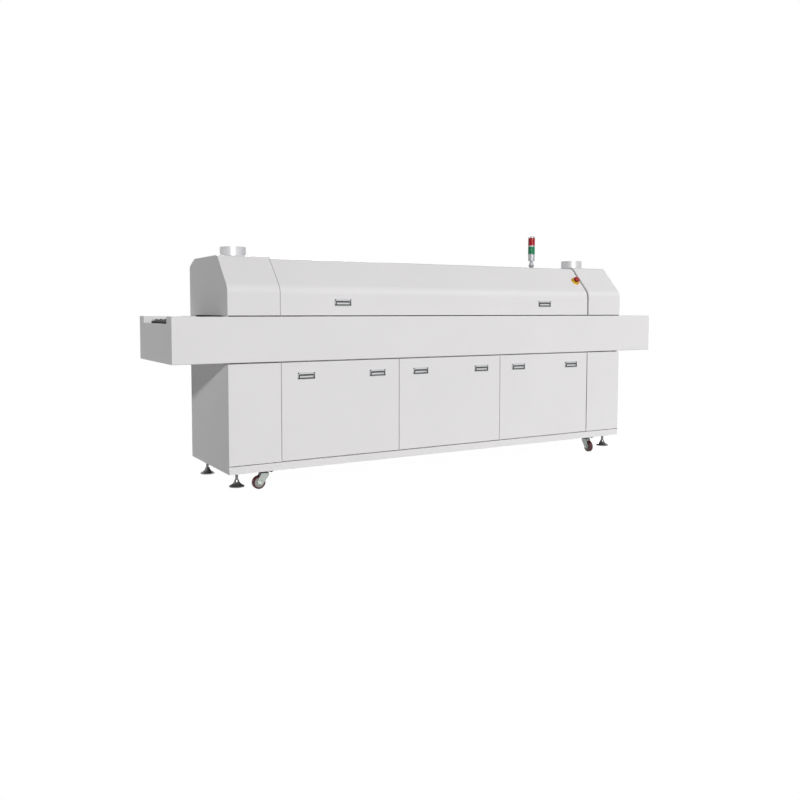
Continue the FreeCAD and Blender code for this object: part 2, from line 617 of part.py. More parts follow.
# End rollers and the worm gearmotor at the outfeed
def build_rollers():
    near_y = "(dim.belt_half+3)"
    for name, sign in (("infeed_roller", -1), ("drive_roller", 1)):
        x = "%d*%s" % (sign, ROLL_X)
        drum = rod("y", x, ROLL_Z, "dim.belt_turn-dim.belt_gauge-dim.roller_fit", "-" + near_y, near_y)
        shaft = rod("y", x, ROLL_Z, "dim.shaft_radius", "-200" if sign < 0 else "-215", "200")
        flat = box(x + "+6", x + "+9", "-205", "-190", ROLL_Z + "-9", ROLL_Z + "+9")
        node(cut(fuse(drum, shaft), flat), name)
    case = box(ROLL_X + "-36", ROLL_X + "+20", "-234", "-190", ROLL_Z + "-36", ROLL_Z + "+30")
    flange = box(ROLL_X + "-30", ROLL_X + "+14", "-190", "-186", ROLL_Z + "-12", ROLL_Z + "+30")
    motor = rod("z", ROLL_X + "-10", "-212", "20", ROLL_Z + "-150", ROLL_Z + "-36")
    bore = rod("y", ROLL_X, ROLL_Z, "dim.shaft_radius+dim.run_fit", "-220", "-180")
    return node(cut(fuse(case, flange, motor), bore), "conveyor_drive")


# Chest handles: plate with pivot barrel, and the swinging bail
def handle_plate(x, face, z):
    half, tall = "dim.handle_width/2", "dim.handle_height/2"
    pivot_y, pivot_z = "(%s-5.5)" % face, "(%s+5)" % z
    plate = box(x + "-" + half, x + "+" + half, face + "-2", face, z + "-" + tall, z + "+" + tall)
    barrel = rod("x", pivot_y, pivot_z, "dim.bail_radius+1.2", x + "-41", x + "+41")
    web = box(x + "-41", x + "+41", pivot_y, face, pivot_z, pivot_z + "+4.2")
    bore = rod("x", pivot_y, pivot_z, "2.5", x + "-45", x + "+45")
    return cut(fuse(plate, barrel, web), bore)


def build_bail(label, x, face, z):
    pivot_y, pivot_z = "(%s-5.5)" % face, "(%s+5)" % z
    low = "(%s-dim.bail_drop)" % pivot_z
    parts = [rod("x", pivot_y, low, "dim.bail_radius", x + "-dim.bail_half", x + "+dim.bail_half")]
    for sign in ("-", "+"):
        arm = x + sign + "dim.bail_half"
        parts.append(rod("z", arm, pivot_y, "dim.bail_radius", low, pivot_z))
        parts.append(ball(arm, pivot_y, low, "dim.bail_radius"))
        parts.append(ball(arm, pivot_y, pivot_z, "dim.bail_radius"))
        ends = (arm, arm + "+10") if sign == "-" else (arm + "-10", arm)
        parts.append(rod("x", pivot_y, pivot_z, "2.4", *ends))
    return node(fuse(*parts), label)


def build_handles():
    lid_face = "(%s+dim.lid_inset)" % FRONT
    plates = []
    for side, sign in SIDES:
        x = "%d*dim.hood_handle_offset" % sign
        plates.append(handle_plate(x, lid_face, "dim.hood_handle_level"))
        build_bail("bail_hood_" + side, x, lid_face, "dim.hood_handle_level")
    node(group(*plates), "hood_handle_plates")
    for index, name in enumerate(("left", "middle", "right")):
        plates = []
        for side, sign in SIDES:
            x = "((%d)*%s+(%d)*dim.handle_offset)" % (index - 1, DOOR_PITCH, sign)
            plates.append(handle_plate(x, FRONT, "dim.door_handle_level"))
            build_bail("bail_door_%s_%s" % (name, side), x, FRONT, "dim.door_handle_level")
        node(group(*plates), "door_%s_handle_plates" % name)


# Emergency stop: ring, sliding stem and turning head
def build_stop():
    ring = cut(cone("0", "0", "0", "9", "dim.stop_ring", "dim.stop_ring-4"),
               rod("z", "0", "0", "12.2", "-30", "20"))
    node(on_slope(ring), "estop_ring")
    stem = fuse(rod("z", "0", "0", "12", "-16", "16"), rod("z", "0", "0", "6", "16", "24"))
    node(on_slope(stem), "estop_stem")
    profile = [("6.1", "16.2"), ("dim.stop_head-4", "16.2"), ("dim.stop_head", "20"), ("dim.stop_head", "26"),
               ("dim.stop_head-5", "31"), ("dim.stop_head-11", "33"), ("0", "33.5"), ("0", "24.3"),
               ("6.1", "24.3")]
    node(on_slope(turned("mushroom", profile)), "estop_head")


# Signal tower on the lid
def build_tower():
    x, y, low = "dim.tower_offset", "0", LID_TOP
    at = lambda rise: "(%s+%s)" % (low, rise)
    wide = "dim.tower_radius"
    stand = fuse(cone(x, y, at(0), at(27), "10", "20"), cone(x, y, at(27), at(54), "20", "10"),
                 rod("z", x, y, "10", at(54), at(58)), rod("z", x, y, wide + "-1", at(58), at(102)))
    rings = [rod("z", x, y, wide + "+0.6", at(102), at(106)), rod("z", x, y, wide + "+0.6", at(158), at(166))]
    cap = fuse(rod("z", x, y, wide, at(219), at(226)), cone(x, y, at(226), at(230), wide, wide + "-5"))
    node(group(stand, cap, *rings), "tower_column")
    node(rod("z", x, y, wide, at(106), at(158)), "tower_green_lens")
    node(rod("z", x, y, wide, at(166), at(219)), "tower_red_lens")


# Casters: fixed plate with kingpin, swivel fork with axle, wheel with tyre
def build_casters():
    plates = []
    deck, top = "dim.ground_clear", "(dim.ground_clear-dim.caster_pad)"
    for code, along, across, angle in CORNERS:
        x, y = "%d*dim.caster_offset" % along, "%d*%s" % (across, CASTER_Y)
        plates.append(fuse(box(x + "-44", x + "+44", y + "-33", y + "+33", top + "-4", deck),
                           rod("z", x, y, "24", top + "-11", top + "-4"),
                           rod("z", x, y, "5", top + "-23", top + "-10"),
                           rod("z", x, y, "9", top + "-26", top + "-22.5")))
        body = new_body("yoke_" + code)
        side = [("-22", top + "-11.5"), ("22", top + "-11.5"), ("22", top + "-26"), ("-16", "26"),
                ("-dim.caster_trail-6", "24"),
                ("-dim.caster_trail-15", "34"), ("-dim.caster_trail-11", "52")]
        yoke = pad(body, sketch(body, "XZ_Plane", [side]), "38", symmetric=True)
        pocket(body, sketch(body, "XZ_Plane", [rectangle("-80", "0", "60", top + "-18")]), "31",
               symmetric=True)
        axle_x, axle_z = "-dim.caster_trail", "dim.wheel_radius"
        fork = cut(fuse(body, rod("z", "0", "0", "25", top + "-18", top + "-11.5")),
                   rod("z", "0", "0", "5.1", "50", top), rod("y", axle_x, axle_z, "4.05", "-30", "30"))
        axle = fuse(rod("y", axle_x, axle_z, "4", "-23", "23"), rod("y", axle_x, axle_z, "7", "-23.5", "-19"),
                    rod("y", axle_x, axle_z, "7", "19", "23.5"))
        half, radius = "dim.wheel_half", "dim.wheel_radius"
        hub = cut(fuse(rod("y", axle_x, axle_z, "27", "-%s+3" % half, half + "-3"),
                       rod("y", axle_x, axle_z, "9", "-" + half, half)),
                       rod("y", axle_x, axle_z, "4.1", "-30", "30"))
        tread = new_body("tread_" + code)
        profile = [("27", "-%s+1" % half), (radius + "-4", "-" + half), (radius, "-%s+4" % half),
                   (radius, half + "-4"),
                   (radius + "-4", half), ("27", half + "-1")]
        spin = tread.newObject("PartDesign::Revolution", "turning")
        spin.Profile = sketch(tread, "XZ_Plane", [profile])
        spin.ReferenceAxis = (spin.Profile[0], ["V_Axis"])
        tread.Placement = FreeCAD.Placement(V(), FreeCAD.Rotation(V(1, 0, 0), 90))
        shift(tread, axle_x, "0", axle_z)
        for label, thing in (("caster_fork_", group(fork, axle)), ("caster_wheel_", group(hub, tread))):
            thing.Placement = FreeCAD.Placement(V(), FreeCAD.Rotation(V(0, 0, 1), angle))
            node(shift(thing, x, y), label + code)
    node(group(*plates), "caster_plates")


# Levelling feet: bell pad on a stud
def build_feet():
    for code, along, across, _ in CORNERS:
        lift = "dim.front_foot_lift" if across < 0 else "dim.rear_foot_lift"
        wide = "dim.foot_radius"
        profile = [("0", "0"), (wide, "0"), (wide, "5"), (wide + "-8", "9"), (wide + "-20", "17"),
                   (wide + "-27", "27"),
                   (wide + "-30", "38"), ("0", "38")]
        bell = turned("bell_" + code, profile)
        stud = rod("z", "0", "0", "8", "38", "118" if across < 0 else "135")
        thing = group(bell, stud)
        node(shift(thing, "%d*dim.foot_offset" % along, "%d*%s" % (across, CASTER_Y), lift), "foot_" + code)


# Control plate with its modules, cabinet floor and cable gland
def build_controls():
    plate = box("430", "1090", "225", "229", "200", "650")
    parts = [plate]
    for x0, x1, z0, z1, deep in ((460, 600, 520, 620, 70), (620, 700, 520, 620, 90),
                                 (720, 1060, 540, 620, 60),
                                 (460, 1060, 440, 475, 40), (460, 540, 300, 410, 80),
                                 (560, 640, 300, 410, 80),
                                 (660, 740, 300, 410, 80), (760, 840, 300, 410, 80),
                                 (880, 1050, 290, 410, 110)):
        parts.append(box(x0, x1, "225-%d" % deep, "225", z0, z1))
    for x0 in (520, 960):
        parts.append(box(x0, x0 + 40, "229", "260", PLINTH_TOP + "+" + GAUGE, "640"))
    node(group(*parts), "control_modules")
    reach = "(%s-60)" % CAB
    floor = box("-" + reach, reach, "-212", "212", PLINTH_TOP, PLINTH_TOP + "+" + GAUGE)
    hole = rod("z", "1280", "120", "14.2", PLINTH_TOP + "-1", PLINTH_TOP + "+10")
    rear_floor = box("430", "1090", "212", "270", PLINTH_TOP, PLINTH_TOP + "+" + GAUGE)
    node(cut(fuse(floor, rear_floor), hole), "cabinet_floor")
    gland = fuse(rod("z", "1280", "120", "21", PLINTH_TOP + "-8", PLINTH_TOP),
                 rod("z", "1280", "120", "14", PLINTH_TOP + "-1", PLINTH_TOP + "+12"),
                 rod("z", "1280", "120", "18", PLINTH_TOP + "-26", PLINTH_TOP + "-8"))
    node(cut(gland, rod("z", "1280", "120", "9", PLINTH_TOP + "-40", PLINTH_TOP + "+40")), "cable_gland")


def main():
    build_base_frame()
    build_doors()
    build_rear_panels()
    for name, sign in (("front", -1), ("rear", 1)):
        build_skirt(name, sign)
    for name, sign in (("infeed", -1), ("outfeed", 1)):
        build_beam_end(name, sign)
    for side, sign in SIDES:
        build_end_cover(side, sign)
        build_hood_end(side, sign)
    build_collars()
    build_lid()
    build_hinge_leaves()
    build_struts()
    build_heaters()
    build_blowers()
    build_belt_rails()
    build_belt()
    build_rollers()
    build_handles()
    build_stop()
    build_tower()
    build_casters()
    build_feet()
    build_controls()
    doc.recompute()
    for thing in doc.Objects:
        if "Invalid" in thing.State or "Error" in thing.State:
            raise RuntimeError("%s is not built: %s" % (thing.Label, thing.State))
    os.makedirs("parts", exist_ok=True)
    for thing in nodes:
        shape = thing.Shape
        if shape.isNull() or not shape.isValid() or not shape.Solids:
            raise RuntimeError("%s has no valid solid" % thing.Label)
        shape.exportStep("parts/%s.step" % thing.Label)
        print(thing.Label, len(shape.Solids), [round(v, 1) for v in (shape.BoundBox.XMin, shape.BoundBox.XMax,
              shape.BoundBox.YMin, shape.BoundBox.YMax, shape.BoundBox.ZMin, shape.BoundBox.ZMax)])


main()
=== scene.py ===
import bpy
import bmesh
import json
import math
from mathutils import Matrix, Vector


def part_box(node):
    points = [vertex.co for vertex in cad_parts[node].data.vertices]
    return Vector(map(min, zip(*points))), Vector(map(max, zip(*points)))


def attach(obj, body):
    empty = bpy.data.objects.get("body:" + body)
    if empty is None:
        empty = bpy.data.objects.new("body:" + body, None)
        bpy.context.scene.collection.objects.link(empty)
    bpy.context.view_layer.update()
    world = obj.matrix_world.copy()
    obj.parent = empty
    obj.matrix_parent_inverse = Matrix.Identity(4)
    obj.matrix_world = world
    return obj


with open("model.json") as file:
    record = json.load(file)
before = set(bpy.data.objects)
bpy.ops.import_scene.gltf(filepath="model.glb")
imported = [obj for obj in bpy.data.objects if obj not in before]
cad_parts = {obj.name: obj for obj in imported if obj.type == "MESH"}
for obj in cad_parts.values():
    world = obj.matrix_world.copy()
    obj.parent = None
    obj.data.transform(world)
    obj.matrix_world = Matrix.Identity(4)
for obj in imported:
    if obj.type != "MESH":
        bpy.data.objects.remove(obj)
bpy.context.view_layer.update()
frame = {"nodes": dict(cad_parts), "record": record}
print("oven loaded:", len(frame["nodes"]), "pieces")


def addObject(name, data):
    made = bpy.data.objects.new(name, data)
    bpy.context.scene.collection.objects.link(made)
    return made


# where the picture is taken from
cameraSetup = {
    "spot": (-2.888, -4.522, 1.001),  # metres, machine frame
    "yaw": 30.57, "pitch": 3.59, "roll": 0.09,  # degrees
    "lens": 36.53, "sensor": 36.0,  # millimetres
    "shiftX": 0.0071, "shiftY": -0.0486, "farClip": 60.0,
}


def buildCamera(setup):
    yaw, pitch = math.radians(setup["yaw"]), math.radians(setup["pitch"])
    ahead = Vector((math.sin(yaw) * math.cos(pitch), math.cos(yaw) * math.cos(pitch), -math.sin(pitch)))
    right = ahead.cross(Vector((0, 0, 1))).normalized()
    above = right.cross(ahead)
    turn = Matrix((right, above, -ahead)).transposed().to_4x4()
    turn = turn @ Matrix.Rotation(math.radians(setup["roll"]), 4, "Z")
    data = bpy.data.cameras.new("ovenCamera")
    data.sensor_width = setup["sensor"]
    data.lens = setup["lens"]
    data.shift_x, data.shift_y = setup["shiftX"], setup["shiftY"]
    data.clip_end = setup["farClip"]
    camera = addObject("ovenCamera", data)
    camera.matrix_world = Matrix.Translation(setup["spot"]) @ turn
    bpy.context.scene.camera = camera


buildCamera(cameraSetup)
print("camera set")


# steps that the finishes share
def startFinish(name, colour, metal, rough):
    finish = bpy.data.materials.new(name)
    finish.use_nodes = True
    nodes, links = finish.node_tree.nodes, finish.node_tree.links
    shader = nodes["Principled BSDF"]
    shader.inputs["Base Color"].default_value = (*colour, 1)
    shader.inputs["Metallic"].default_value = metal
    shader.inputs["Roughness"].default_value = rough
    return finish, nodes, links, shader


def objectPoints(nodes, links, stretch=(1, 1, 1)):
    place = nodes.new("ShaderNodeTexCoord")
    mapping = nodes.new("ShaderNodeMapping")
    mapping.inputs["Scale"].default_value = stretch
    links.new(place.outputs["Object"], mapping.inputs["Vector"])
    return mapping.outputs["Vector"]


def speckle(nodes, links, points, scale, detail=3.0):
    noise = nodes.new("ShaderNodeTexNoise")
    noise.inputs["Scale"].default_value = scale
    noise.inputs["Detail"].default_value = detail
    links.new(points, noise.inputs["Vector"])
    return noise.outputs["Fac"]


def bands(nodes, links, points, direction, scale):
    wave = nodes.new("ShaderNodeTexWave")
    wave.bands_direction = direction
    wave.inputs["Scale"].default_value = scale
    links.new(points, wave.inputs["Vector"])
    return wave.outputs["Fac"]


def faded(colour, share):
    return tuple(channel * share for channel in colour)


def shadeBetween(nodes, links, amount, low, high, start=0.3, end=0.7):
    ramp = nodes.new("ShaderNodeValToRGB")
    first, last = ramp.color_ramp.elements
    first.position, last.position = start, end
    first.color, last.color = (*low, 1), (*high, 1)
    links.new(amount, ramp.inputs["Fac"])
    return ramp.outputs["Color"]


def varyRoughness(nodes, links, shader, amount, rough, texture):
    span = nodes.new("ShaderNodeMapRange")
    span.inputs["To Min"].default_value = rough - texture["smoother"]
    span.inputs["To Max"].default_value = rough + texture["rougher"]
    links.new(amount, span.inputs["Value"])
    links.new(span.outputs["Result"], shader.inputs["Roughness"])


def raiseBump(nodes, links, shader, amount, strength, height):
    bump = nodes.new("ShaderNodeBump")
    bump.inputs["Strength"].default_value = strength
    bump.inputs["Distance"].default_value = height
    links.new(amount, bump.inputs["Height"])
    links.new(bump.outputs["Normal"], shader.inputs["Normal"])


# the second value is a plain number or another node's output
def reckon(nodes, links, operation, first, second):
    step = nodes.new("ShaderNodeMath")
    step.operation = operation
    links.new(first, step.inputs[0])
    if isinstance(second, float):
        step.inputs[1].default_value = second
    else:
        links.new(second, step.inputs[1])
    return step.outputs["Value"]


def reckonPoints(nodes, links, operation, points, other=(0, 0, 0)):
    step = nodes.new("ShaderNodeVectorMath")
    step.operation = operation
    step.inputs[1].default_value = other
    links.new(points, step.inputs[0])
    return step.outputs


def mixColours(nodes, links, share, first, second):
    factorIn, firstIn, secondIn, mixedOut = 0, 6, 7, 2  # the mix node's colour sockets
    blend = nodes.new("ShaderNodeMix")
    blend.data_type = "RGBA"
    links.new(share, blend.inputs[factorIn])
    links.new(first, blend.inputs[firstIn])
    links.new(second, blend.inputs[secondIn])
    return blend.outputs[mixedOut]


# sprayed paint, moulded plastic and rubber
paintTexture = {"cloud": 2.3, "grainDetail": 2.0, "smoother": 0.06, "rougher": 0.08, "height": 0.0004}
paintLooks = {
    "bodyPaint": {"colour": (0.738, 0.726, 0.731), "fade": 0.975, "rough": 0.36,
                  "grain": 420.0, "peel": 0.04, "gloss": 0.2},
    "framePaint": {"colour": (0.745, 0.733, 0.738), "fade": 0.97, "rough": 0.5,
                   "grain": 420.0, "peel": 0.06, "gloss": 0.16},
    "drivePaint": {"colour": (0.10, 0.11, 0.12), "fade": 0.8, "rough": 0.45,
                   "grain": 300.0, "peel": 0.1, "gloss": 0.4},
    "motorPaint": {"colour": (0.07, 0.075, 0.08), "fade": 0.8, "rough": 0.45,
                   "grain": 300.0, "peel": 0.1, "gloss": 0.4},
    "controlGrey": {"colour": (0.42, 0.43, 0.44), "fade": 0.85, "rough": 0.55,
                    "grain": 350.0, "peel": 0.08, "gloss": 0.4},
    "glandBlack": {"colour": (0.03, 0.03, 0.03), "fade": 0.7, "rough": 0.5,
                   "grain": 500.0, "peel": 0.1, "gloss": 0.4},
    "stopYellow": {"colour": (0.62, 0.36, 0.012), "fade": 0.9, "rough": 0.32,
                   "grain": 500.0, "peel": 0.05, "gloss": 0.5},
    "stopRed": {"colour": (0.34, 0.003, 0.006), "fade": 0.85, "rough": 0.42,
                "grain": 500.0, "peel": 0.05, "gloss": 0.3},
    "stopStem": {"colour": (0.03, 0.03, 0.03), "fade": 0.8, "rough": 0.5,
                 "grain": 500.0, "peel": 0.05, "gloss": 0.5},
    "casterBlack": {"colour": (0.012, 0.012, 0.012), "fade": 0.7, "rough": 0.5,
                    "grain": 400.0, "peel": 0.1, "gloss": 0.35},
    "beltLink": {"colour": (0.013, 0.013, 0.014), "fade": 0.7, "rough": 0.6,
                 "grain": 300.0, "peel": 0.1, "gloss": 0.1},
    "sealRubber": {"colour": (0.022, 0.022, 0.023), "fade": 0.7, "rough": 0.7,
                   "grain": 500.0, "peel": 0.15, "gloss": 0.2},
    # grey of the rim edging: partly the rubber's own colour, partly painted shade for the shadow of the step
    # at the hood seam
    "edgeRubber": {"colour": (0.32, 0.32, 0.325), "fade": 0.85, "rough": 0.6,
                   "grain": 500.0, "peel": 0.1, "gloss": 0.25},
}


def paintFinish(name, look):
    finish, nodes, links, shader = startFinish(name, look["colour"], 0.0, look["rough"])
    points = objectPoints(nodes, links)
    cloud = speckle(nodes, links, points, paintTexture["cloud"])
    tint = shadeBetween(nodes, links, cloud, faded(look["colour"], look["fade"]), look["colour"])
    links.new(tint, shader.inputs["Base Color"])
    grain = speckle(nodes, links, points, look["grain"], paintTexture["grainDetail"])
    varyRoughness(nodes, links, shader, grain, look["rough"], paintTexture)
    raiseBump(nodes, links, shader, grain, look["peel"], paintTexture["height"])
    shader.inputs["Specular IOR Level"].default_value = look["gloss"]
    return finish


# bare and plated metal, its streaks drawn out along one way
metalTexture = {"detail": 4.0, "smoother": 0.05, "rougher": 0.1, "bump": 0.08, "height": 0.0003}
metalLooks = {
    "bailSteel": {"colour": (0.07, 0.07, 0.072), "metal": 0.9, "rough": 0.28,
                  "fade": 0.7, "grain": 60.0, "stretch": (1, 8, 8)},
    "collarSheet": {"colour": (0.60, 0.60, 0.62), "metal": 0.6, "rough": 0.34,
                    "fade": 0.9, "grain": 30.0, "stretch": (1, 1, 12)},
    "railMetal": {"colour": (0.55, 0.56, 0.57), "metal": 0.9, "rough": 0.38,
                  "fade": 0.85, "grain": 50.0, "stretch": (1, 10, 10)},
    "rollerSteel": {"colour": (0.16, 0.16, 0.165), "metal": 0.9, "rough": 0.3,
                    "fade": 0.8, "grain": 60.0, "stretch": (10, 1, 10)},
    "heaterSteel": {"colour": (0.55, 0.54, 0.51), "metal": 0.9, "rough": 0.36,
                    "fade": 0.75, "grain": 18.0, "stretch": (1, 4, 4)},
    "towerMetal": {"colour": (0.42, 0.43, 0.45), "metal": 0.7, "rough": 0.3,
                   "fade": 0.8, "grain": 60.0, "stretch": (1, 1, 6)},
    "nutZinc": {"colour": (0.72, 0.76, 0.74), "metal": 1.0, "rough": 0.25,
                "fade": 0.85, "grain": 200.0, "stretch": (1, 1, 1)},
    "casterZinc": {"colour": (0.46, 0.50, 0.47), "metal": 0.8, "rough": 0.4,
                   "fade": 0.75, "grain": 70.0, "stretch": (1, 1, 1)},
    "footSteel": {"colour": (0.20, 0.20, 0.195), "metal": 0.85, "rough": 0.3,
                  "fade": 0.75, "grain": 60.0, "stretch": (1, 1, 1)},
    "hingeSteel": {"colour": (0.5, 0.5, 0.51), "metal": 1.0, "rough": 0.35,
                   "fade": 0.8, "grain": 60.0, "stretch": (1, 6, 6)},
    "screwSteel": {"colour": (0.05, 0.05, 0.052), "metal": 0.6, "rough": 0.45,
                   "fade": 0.7, "grain": 300.0, "stretch": (1, 1, 1)},
}


def metalFinish(name, look):
    finish, nodes, links, shader = startFinish(name, look["colour"], look["metal"], look["rough"])
    points = objectPoints(nodes, links, look["stretch"])
    streak = speckle(nodes, links, points, look["grain"], metalTexture["detail"])
    tint = shadeBetween(nodes, links, streak, faded(look["colour"], look["fade"]), look["colour"])
    links.new(tint, shader.inputs["Base Color"])
    varyRoughness(nodes, links, shader, streak, look["rough"], metalTexture)
    raiseBump(nodes, links, shader, streak, metalTexture["bump"], metalTexture["height"])
    return finish


# ribbed lenses of the signal tower
lensTexture = {
    "cloud": 60.0, "fade": 0.75, "ribBump": 0.25, "ribHeight": 0.0006,
    "gloss": 0.2, "coat": 0.12, "coatRough": 0.08,
}
lensLooks = {
    "redLens": {"colour": (0.40, 0.003, 0.008), "rough": 0.2, "ribs": 150.0},
    "greenLens": {"colour": (0.004, 0.22, 0.085), "rough": 0.2, "ribs": 150.0},
}


def lensFinish(name, look):
    finish, nodes, links, shader = startFinish(name, look["colour"], 0.0, look["rough"])
    points = objectPoints(nodes, links)
    cloud = speckle(nodes, links, points, lensTexture["cloud"])
    tint = shadeBetween(nodes, links, cloud, faded(look["colour"], lensTexture["fade"]), look["colour"])
    links.new(tint, shader.inputs["Base Color"])
    ribs = bands(nodes, links, points, "Z", look["ribs"])
    raiseBump(nodes, links, shader, ribs, lensTexture["ribBump"], lensTexture["ribHeight"])
    shader.inputs["Specular IOR Level"].default_value = lensTexture["gloss"]
    shader.inputs["Coat Weight"].default_value = lensTexture["coat"]
    shader.inputs["Coat Roughness"].default_value = lensTexture["coatRough"]
    return finish


# woven wire of the belt
wireLook = {
    "colour": (0.014, 0.014, 0.015), "rough": 0.6, "gloss": 0.12,
    "pitchAlong": 30.0, "pitchAcross": 40.0, "bump": 0.8, "height": 0.002,
    "gapFade": 0.15, "gapStart": 0.35, "gapEnd": 0.85,
}


def wireFinish(name, look):
    finish, nodes, links, shader = startFinish(name, look["colour"], 0.0, look["rough"])
    shader.inputs["Specular IOR Level"].default_value = look["gloss"]
    points = objectPoints(nodes, links)
    along = bands(nodes, links, points, "X", look["pitchAlong"])
    across = bands(nodes, links, points, "Y", look["pitchAcross"])
    weave = reckon(nodes, links, "MAXIMUM", along, across)
    gap = faded(look["colour"], look["gapFade"])
    tint = shadeBetween(nodes, links, weave, gap, look["colour"], look["gapStart"], look["gapEnd"])
    links.new(tint, shader.inputs["Base Color"])
    raiseBump(nodes, links, shader, weave, look["bump"], look["height"])
    return finish


# tyre and hub share one node, so the finish splits them by distance from the axle
wheelLook = {
    "tyre": (0.06, 0.006, 0.010), "tyreFade": 0.7, "hub": (0.30, 0.31, 0.30), "hubFade": 0.8,
    "split": 0.027, "rough": 0.5, "scuff": 90.0, "bump": 0.15, "height": 0.0005,
}


def wheelFinish(name, look, centre, axle):
    finish, nodes, links, shader = startFinish(name, look["tyre"], 0.0, look["rough"])
    points = objectPoints(nodes, links)
    offset = reckonPoints(nodes, links, "SUBTRACT", points, centre)["Vector"]
    sideways = reckonPoints(nodes, links, "CROSS_PRODUCT", offset, axle)["Vector"]
    radius = reckonPoints(nodes, links, "LENGTH", sideways)["Value"]
    isTyre = reckon(nodes, links, "GREATER_THAN", radius, look["split"])
    scuff = speckle(nodes, links, points, look["scuff"])
    tread = shadeBetween(nodes, links, scuff, faded(look["tyre"], look["tyreFade"]), look["tyre"])
    hub = shadeBetween(nodes, links, scuff, faded(look["hub"], look["hubFade"]), look["hub"])
    links.new(mixColours(nodes, links, isTyre, hub, tread), shader.inputs["Base Color"])
    raiseBump(nodes, links, shader, scuff, look["bump"], look["height"])
    return finish


# the plate stays pale and its pivot barrel, which stands further forward, is dark
plateLook = {
    "plate": (0.58, 0.59, 0.60), "plateFade": 0.9, "barrel": (0.07, 0.07, 0.072), "barrelFade": 0.7,
    "split": 0.0024, "metal": 0.35, "rough": 0.45, "grain": 90.0,
}


def handlePlateFinish(name, look, back):
    finish, nodes, links, shader = startFinish(name, look["plate"], look["metal"], look["rough"])
    points = objectPoints(nodes, links)
    apart = nodes.new("ShaderNodeSeparateXYZ")
    links.new(points, apart.inputs["Vector"])
    isBarrel = reckon(nodes, links, "LESS_THAN", apart.outputs["Y"], back - look["split"])
    streak = speckle(nodes, links, points, look["grain"])
    plate = shadeBetween(nodes, links, streak, faded(look["plate"], look["plateFade"]), look["plate"])
    barrel = shadeBetween(nodes, links, streak, faded(look["barrel"], look["barrelFade"]), look["barrel"])
    links.new(mixColours(nodes, links, isBarrel, plate, barrel), shader.inputs["Base Color"])
    varyRoughness(nodes, links, shader, streak, look["rough"], metalTexture)
    raiseBump(nodes, links, shader, streak, metalTexture["bump"], metalTexture["height"])
    return finish


finishes = {name: paintFinish(name, look) for name, look in paintLooks.items()}
finishes.update({name: metalFinish(name, look) for name, look in metalLooks.items()})
finishes.update({name: lensFinish(name, look) for name, look in lensLooks.items()})
finishes["beltWire"] = wireFinish("beltWire", wireLook)

slotFinish = {  # record slot to finish
    "body_paint": "bodyPaint", "frame_paint": "framePaint",
    "collar_metal": "collarSheet", "belt_wire": "beltWire", "rail_metal": "railMetal",
    "roller_steel": "rollerSteel", "drive_case": "drivePaint", "heater_steel": "heaterSteel",
    "motor_paint": "motorPaint", "control_grey": "controlGrey", "gland_plastic": "glandBlack",
    "tower_metal": "towerMetal", "red_lens": "redLens", "green_lens": "greenLens",
    "stop_yellow": "stopYellow", "stop_red": "stopRed", "stop_stem": "stopStem",
    "caster_zinc": "casterZinc", "caster_black": "casterBlack", "foot_dark": "footSteel",
    "hinge_steel": "hingeSteel", "strut_steel": "hingeSteel",
}


def jointOf(bodyName):
    return next(joint for joint in frame["record"]["behaviour"]["joints"] if joint["child"] == bodyName)


def finishFor(part):
    name = part["node"]
    if name.startswith("caster_wheel_"):
        joint = jointOf(name.replace("caster_", ""))
        return wheelFinish("wheel" + name[-2:].upper(), wheelLook, joint["pos_m"], joint["axis"])
    if name.startswith("bail_"):
        return finishes["bailSteel"]
    if name.endswith("handle_plates"):
        return handlePlateFinish(name.replace("_", ""), plateLook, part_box(name)[1][1])
    return finishes[slotFinish[part["material_slot"]]]


for part in frame["record"]["subparts"]:
    finish = finishFor(part)
    for slot in frame["nodes"][part["node"]].material_slots:
        slot.material = finish
print("finishes on every piece")


# steps that the small pieces share
def turns(count):
    return [2 * math.pi * step / count for step in range(count)]


def joinLoops(mesh, loops, closed=False):
    for lower, upper in zip(loops, loops[1:]):
        for step in range(len(lower)):
            following = (step + 1) % len(lower)
            mesh.faces.new((lower[step], lower[following], upper[following], upper[step]))
    if not closed:
        mesh.faces.new(loops[-1])
        mesh.faces.new(list(reversed(loops[0])))


def keepPiece(name, mesh, finish, bodyName, smooth=True):
    bmesh.ops.recalc_face_normals(mesh, faces=mesh.faces)
    data = bpy.data.meshes.new(name)
    mesh.to_mesh(data)
    mesh.free()
    if smooth:
        data.shade_smooth()
    data.materials.append(finishes[finish])
    piece = addObject(name, data)
    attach(piece, bodyName)


# a screw, bolt or nut head, its profile given as shares of the radius and of the rise
def addHead(mesh, spot, outward, look):
    out = Vector(outward).normalized()
    side = out.orthogonal().normalized()
    above = out.cross(side)
    loops = []
    for share, rise in look["profile"]:
        middle = Vector(spot) + out * rise * look["rise"]
        loop = []
        for angle in turns(look["sides"]):
            swing = side * math.cos(angle) + above * math.sin(angle)
            loop.append(mesh.verts.new(middle + swing * share * look["radius"]))
        loops.append(loop)
    joinLoops(mesh, loops)


# a soft bulb seal or filler strip between two points, level along its length
def addStrip(mesh, start, end, halfWide, halfTall, steps=16, bulge=0.5):
    start, end = Vector(start), Vector(end)
    across = Vector((0, 0, 1)).cross((end - start).normalized())
    loops = []
    for spot in (start, start.lerp(end, 0.5), end):
        loop = []
        for angle in turns(steps):
            wide = math.copysign(abs(math.cos(angle)) ** bulge, math.cos(angle)) * halfWide
            tall = math.copysign(abs(math.sin(angle)) ** bulge, math.sin(angle)) * halfTall
            loop.append(mesh.verts.new(spot + across * wide + Vector((0, 0, tall))))
        loops.append(loop)
    joinLoops(mesh, loops)


